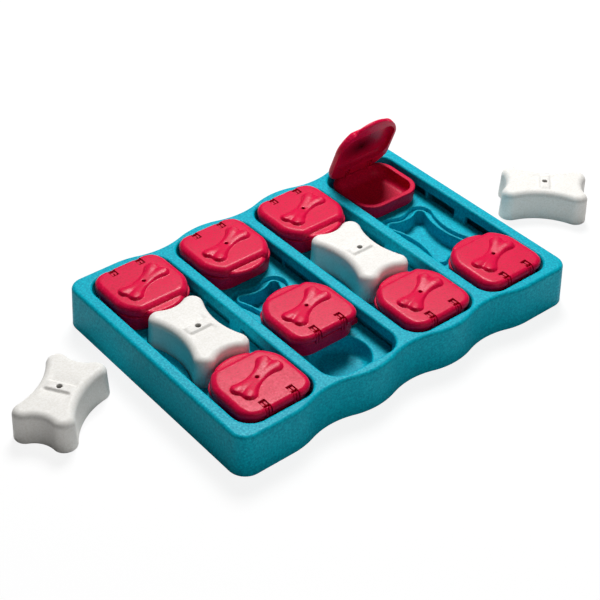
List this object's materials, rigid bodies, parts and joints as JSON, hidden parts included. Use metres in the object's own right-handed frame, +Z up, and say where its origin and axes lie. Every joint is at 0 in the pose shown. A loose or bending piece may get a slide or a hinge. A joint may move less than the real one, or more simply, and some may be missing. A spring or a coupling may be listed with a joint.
{
  "type": "dog puzzle feeder",
  "caption": "Dog puzzle feeder: wavy moulded tray with lanes of sliding flip-lid treat boxes over hidden wells, and lift-out hollow bone blocks that bar the lanes.",
  "frame": {"origin": "centre of the tray's underside, on the table", "axes": "+X across the lanes along the wavy sides, +Y along the lanes towards the back, +Z up"},
  "size_m": [0.5541, 0.2262, 0.0933],
  "materials": {
    "tray_teal": "fine-grained moulded plastic",
    "box_red": "fine-grained moulded plastic",
    "lid_red": "fine-grained moulded plastic with a soft sheen",
    "bone_white": "fine-grained moulded plastic"
  },
  "bodies": {
    "tray": {"tray_rim_1_front": "tray_teal", "tray_rim_1_back": "tray_teal", "tray_rim_2_front": "tray_teal", "tray_rim_2_back": "tray_teal", "tray_rim_3_front": "tray_teal", "tray_rim_3_back": "tray_teal", "tray_rim_4_front": "tray_teal", "tray_rim_4_back": "tray_teal", "tray_lane_1": "tray_teal", "tray_lane_2": "tray_teal", "tray_lane_3": "tray_teal", "tray_lane_4": "tray_teal"},
    "box_1_front": {"box_1_front": "box_red"},
    "lid_1_front": {"lid_1_front": "lid_red"},
    "box_1_back": {"box_1_back": "box_red"},
    "lid_1_back": {"lid_1_back": "lid_red"},
    "box_2_front": {"box_2_front": "box_red"},
    "lid_2_front": {"lid_2_front": "lid_red"},
    "box_2_back": {"box_2_back": "box_red"},
    "lid_2_back": {"lid_2_back": "lid_red"},
    "box_3_front": {"box_3_front": "box_red"},
    "lid_3_front": {"lid_3_front": "lid_red"},
    "box_3_back": {"box_3_back": "box_red"},
    "lid_3_back": {"lid_3_back": "lid_red"},
    "box_4_front": {"box_4_front": "box_red"},
    "lid_4_front": {"lid_4_front": "lid_red"},
    "box_4_back": {"box_4_back": "box_red"},
    "lid_4_back": {"lid_4_back": "lid_red"},
    "bone_1": {"bone_1": "bone_white"},
    "bone_2": {"bone_2": "bone_white"},
    "bone_3": {"bone_3": "bone_white"},
    "bone_4": {"bone_4": "bone_white"}
  },
  "joints": [
    {"name": "box_1_front_slide", "type": "slide", "parent": "tray", "child": "box_1_front", "axis": [0, 1, 0], "range_m": [0, 0.0025]},
    {"name": "lid_1_front_hinge", "type": "hinge", "parent": "box_1_front", "child": "lid_1_front", "pos_m": [-0.1185, -0.0965, 0.0373], "axis": [1, 0, 0], "range_deg": [0, 110]},
    {"name": "box_1_back_slide", "type": "slide", "parent": "tray", "child": "box_1_back", "axis": [0, 1, 0], "range_m": [-0.0025, 0]},
    {"name": "lid_1_back_hinge", "type": "hinge", "parent": "box_1_back", "child": "lid_1_back", "pos_m": [-0.1185, 0.0965, 0.0373], "axis": [-1, 0, 0], "range_deg": [0, 110]},
    {"name": "box_2_front_slide", "type": "slide", "parent": "tray", "child": "box_2_front", "axis": [0, 1, 0], "range_m": [-0.0407, 0.0295]},
    {"name": "lid_2_front_hinge", "type": "hinge", "parent": "box_2_front", "child": "lid_2_front", "pos_m": [-0.0395, -0.0558, 0.0373], "axis": [1, 0, 0], "range_deg": [0, 110]},
    {"name": "box_2_back_slide", "type": "slide", "parent": "tray", "child": "box_2_back", "axis": [0, 1, 0], "range_m": [-0.031, 0]},
    {"name": "lid_2_back_hinge", "type": "hinge", "parent": "box_2_back", "child": "lid_2_back", "pos_m": [-0.0395, 0.0965, 0.0373], "axis": [-1, 0, 0], "range_deg": [0, 110]},
    {"name": "box_3_front_slide", "type": "slide", "parent": "tray", "child": "box_3_front", "axis": [0, 1, 0], "range_m": [0, 0.0025]},
    {"name": "lid_3_front_hinge", "type": "hinge", "parent": "box_3_front", "child": "lid_3_front", "pos_m": [0.0395, -0.0965, 0.0373], "axis": [1, 0, 0], "range_deg": [0, 110]},
    {"name": "box_3_back_slide", "type": "slide", "parent": "tray", "child": "box_3_back", "axis": [0, 1, 0], "range_m": [-0.0025, 0]},
    {"name": "lid_3_back_hinge", "type": "hinge", "parent": "box_3_back", "child": "lid_3_back", "pos_m": [0.0395, 0.0965, 0.0373], "axis": [-1, 0, 0], "range_deg": [0, 110]},
    {"name": "box_4_front_slide", "type": "slide", "parent": "tray", "child": "box_4_front", "axis": [0, 1, 0], "range_m": [0, 0.0702]},
    {"name": "lid_4_front_hinge", "type": "hinge", "parent": "box_4_front", "child": "lid_4_front", "pos_m": [0.1185, -0.0965, 0.0373], "axis": [1, 0, 0], "range_deg": [0, 110]},
    {"name": "box_4_back_slide", "type": "slide", "parent": "tray", "child": "box_4_back", "axis": [0, 1, 0], "range_m": [-0.0702, 0]},
    {"name": "lid_4_back_hinge", "type": "hinge", "parent": "box_4_back", "child": "lid_4_back", "pos_m": [0.1185, 0.0965, 0.0373], "axis": [-1, 0, 0], "range_deg": [-70, 40]},
    {"name": "bone_1_lift", "type": "slide", "parent": "tray", "child": "bone_1", "axis": [0, 0, 1], "range_m": [0, 0.08]},
    {"name": "bone_2_lift", "type": "slide", "parent": "tray", "child": "bone_2", "axis": [0, 0, 1], "range_m": [0, 0.08]},
    {"name": "bone_3_lift", "type": "slide", "parent": "tray", "child": "bone_3", "axis": [0, 0, 1], "range_m": [0, 0.08]},
    {"name": "bone_4_lift", "type": "slide", "parent": "tray", "child": "bone_4", "axis": [0, 0, 1], "range_m": [0, 0.08]}
  ]
}
